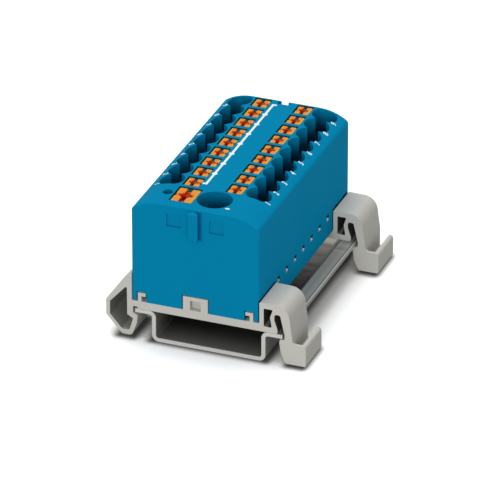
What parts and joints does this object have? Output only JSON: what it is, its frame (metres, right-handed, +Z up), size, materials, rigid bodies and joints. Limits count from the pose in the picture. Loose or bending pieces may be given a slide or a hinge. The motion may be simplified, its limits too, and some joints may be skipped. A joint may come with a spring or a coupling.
{
  "type": "power distribution block",
  "caption": "Push-in power distribution block on a mounting rail: two rows of sprung release buttons and wire funnels behind one larger feed entry, held by two clip-on feet.",
  "frame": {"origin": "centre line of the rail's flat underside, at mid-length of the housing", "axes": "+X across the rail, from the fixed hook to the sprung latch; +Y along the rail, away from the feed entry; +Z up, away from the rail"},
  "size_m": [0.0475, 0.0612, 0.0349],
  "materials": {
    "housing_blue": "satin moulded polyamide",
    "button_orange": "satin moulded polyamide",
    "foot_grey": "satin moulded polyamide",
    "rail_steel": "zinc plated and passivated",
    "contact_copper": "tin plated copper",
    "spring_steel": "stainless spring strip"
  },
  "bodies": {
    "block": {"housing": "housing_blue", "base_plate": "housing_blue", "busbar": "contact_copper", "rail_foot_front": "foot_grey", "rail_foot_rear": "foot_grey", "din_rail": "rail_steel", "clamp_spring_feed": "spring_steel", "clamp_spring_left_1": "spring_steel", "clamp_spring_left_2": "spring_steel", "clamp_spring_left_3": "spring_steel", "clamp_spring_left_4": "spring_steel", "clamp_spring_left_5": "spring_steel", "clamp_spring_left_6": "spring_steel", "clamp_spring_left_7": "spring_steel", "clamp_spring_left_8": "spring_steel", "clamp_spring_left_9": "spring_steel", "clamp_spring_right_1": "spring_steel", "clamp_spring_right_2": "spring_steel", "clamp_spring_right_3": "spring_steel", "clamp_spring_right_4": "spring_steel", "clamp_spring_right_5": "spring_steel", "clamp_spring_right_6": "spring_steel", "clamp_spring_right_7": "spring_steel", "clamp_spring_right_8": "spring_steel", "clamp_spring_right_9": "spring_steel"},
    "button_feed": {"button_feed": "button_orange"},
    "button_left_1": {"button_left_1": "button_orange"},
    "button_left_2": {"button_left_2": "button_orange"},
    "button_left_3": {"button_left_3": "button_orange"},
    "button_left_4": {"button_left_4": "button_orange"},
    "button_left_5": {"button_left_5": "button_orange"},
    "button_left_6": {"button_left_6": "button_orange"},
    "button_left_7": {"button_left_7": "button_orange"},
    "button_left_8": {"button_left_8": "button_orange"},
    "button_left_9": {"button_left_9": "button_orange"},
    "button_right_1": {"button_right_1": "button_orange"},
    "button_right_2": {"button_right_2": "button_orange"},
    "button_right_3": {"button_right_3": "button_orange"},
    "button_right_4": {"button_right_4": "button_orange"},
    "button_right_5": {"button_right_5": "button_orange"},
    "button_right_6": {"button_right_6": "button_orange"},
    "button_right_7": {"button_right_7": "button_orange"},
    "button_right_8": {"button_right_8": "button_orange"},
    "button_right_9": {"button_right_9": "button_orange"}
  },
  "joints": [
    {"name": "press_left_1", "type": "slide", "parent": "block", "child": "button_left_1", "axis": [0, 0, -1], "range_m": [0, 0.0013], "stiffness_N_per_m": 4000, "springref_m": -0.0003, "deforming": ["clamp_spring_left_1"]},
    {"name": "press_left_2", "type": "slide", "parent": "block", "child": "button_left_2", "axis": [0, 0, -1], "range_m": [0, 0.0013], "stiffness_N_per_m": 4000, "springref_m": -0.0003, "deforming": ["clamp_spring_left_2"]},
    {"name": "press_left_3", "type": "slide", "parent": "block", "child": "button_left_3", "axis": [0, 0, -1], "range_m": [0, 0.0013], "stiffness_N_per_m": 4000, "springref_m": -0.0003, "deforming": ["clamp_spring_left_3"]},
    {"name": "press_left_4", "type": "slide", "parent": "block", "child": "button_left_4", "axis": [0, 0, -1], "range_m": [0, 0.0013], "stiffness_N_per_m": 4000, "springref_m": -0.0003, "deforming": ["clamp_spring_left_4"]},
    {"name": "press_left_5", "type": "slide", "parent": "block", "child": "button_left_5", "axis": [0, 0, -1], "range_m": [0, 0.0013], "stiffness_N_per_m": 4000, "springref_m": -0.0003, "deforming": ["clamp_spring_left_5"]},
    {"name": "press_left_6", "type": "slide", "parent": "block", "child": "button_left_6", "axis": [0, 0, -1], "range_m": [0, 0.0013], "stiffness_N_per_m": 4000, "springref_m": -0.0003, "deforming": ["clamp_spring_left_6"]},
    {"name": "press_left_7", "type": "slide", "parent": "block", "child": "button_left_7", "axis": [0, 0, -1], "range_m": [0, 0.0013], "stiffness_N_per_m": 4000, "springref_m": -0.0003, "deforming": ["clamp_spring_left_7"]},
    {"name": "press_left_8", "type": "slide", "parent": "block", "child": "button_left_8", "axis": [0, 0, -1], "range_m": [0, 0.0013], "stiffness_N_per_m": 4000, "springref_m": -0.0003, "deforming": ["clamp_spring_left_8"]},
    {"name": "press_left_9", "type": "slide", "parent": "block", "child": "button_left_9", "axis": [0, 0, -1], "range_m": [0, 0.0013], "stiffness_N_per_m": 4000, "springref_m": -0.0003, "deforming": ["clamp_spring_left_9"]},
    {"name": "press_right_1", "type": "slide", "parent": "block", "child": "button_right_1", "axis": [0, 0, -1], "range_m": [0, 0.0013], "stiffness_N_per_m": 4000, "springref_m": -0.0003, "deforming": ["clamp_spring_right_1"]},
    {"name": "press_right_2", "type": "slide", "parent": "block", "child": "button_right_2", "axis": [0, 0, -1], "range_m": [0, 0.0013], "stiffness_N_per_m": 4000, "springref_m": -0.0003, "deforming": ["clamp_spring_right_2"]},
    {"name": "press_right_3", "type": "slide", "parent": "block", "child": "button_right_3", "axis": [0, 0, -1], "range_m": [0, 0.0013], "stiffness_N_per_m": 4000, "springref_m": -0.0003, "deforming": ["clamp_spring_right_3"]},
    {"name": "press_right_4", "type": "slide", "parent": "block", "child": "button_right_4", "axis": [0, 0, -1], "range_m": [0, 0.0013], "stiffness_N_per_m": 4000, "springref_m": -0.0003, "deforming": ["clamp_spring_right_4"]},
    {"name": "press_right_5", "type": "slide", "parent": "block", "child": "button_right_5", "axis": [0, 0, -1], "range_m": [0, 0.0013], "stiffness_N_per_m": 4000, "springref_m": -0.0003, "deforming": ["clamp_spring_right_5"]},
    {"name": "press_right_6", "type": "slide", "parent": "block", "child": "button_right_6", "axis": [0, 0, -1], "range_m": [0, 0.0013], "stiffness_N_per_m": 4000, "springref_m": -0.0003, "deforming": ["clamp_spring_right_6"]},
    {"name": "press_right_7", "type": "slide", "parent": "block", "child": "button_right_7", "axis": [0, 0, -1], "range_m": [0, 0.0013], "stiffness_N_per_m": 4000, "springref_m": -0.0003, "deforming": ["clamp_spring_right_7"]},
    {"name": "press_right_8", "type": "slide", "parent": "block", "child": "button_right_8", "axis": [0, 0, -1], "range_m": [0, 0.0013], "stiffness_N_per_m": 4000, "springref_m": -0.0003, "deforming": ["clamp_spring_right_8"]},
    {"name": "press_right_9", "type": "slide", "parent": "block", "child": "button_right_9", "axis": [0, 0, -1], "range_m": [0, 0.0013], "stiffness_N_per_m": 4000, "springref_m": -0.0003, "deforming": ["clamp_spring_right_9"]},
    {"name": "press_feed", "type": "slide", "parent": "block", "child": "button_feed", "axis": [0, 0, -1], "range_m": [0, 0.0013], "stiffness_N_per_m": 9000, "springref_m": -0.0003, "deforming": ["clamp_spring_feed"]}
  ]
}
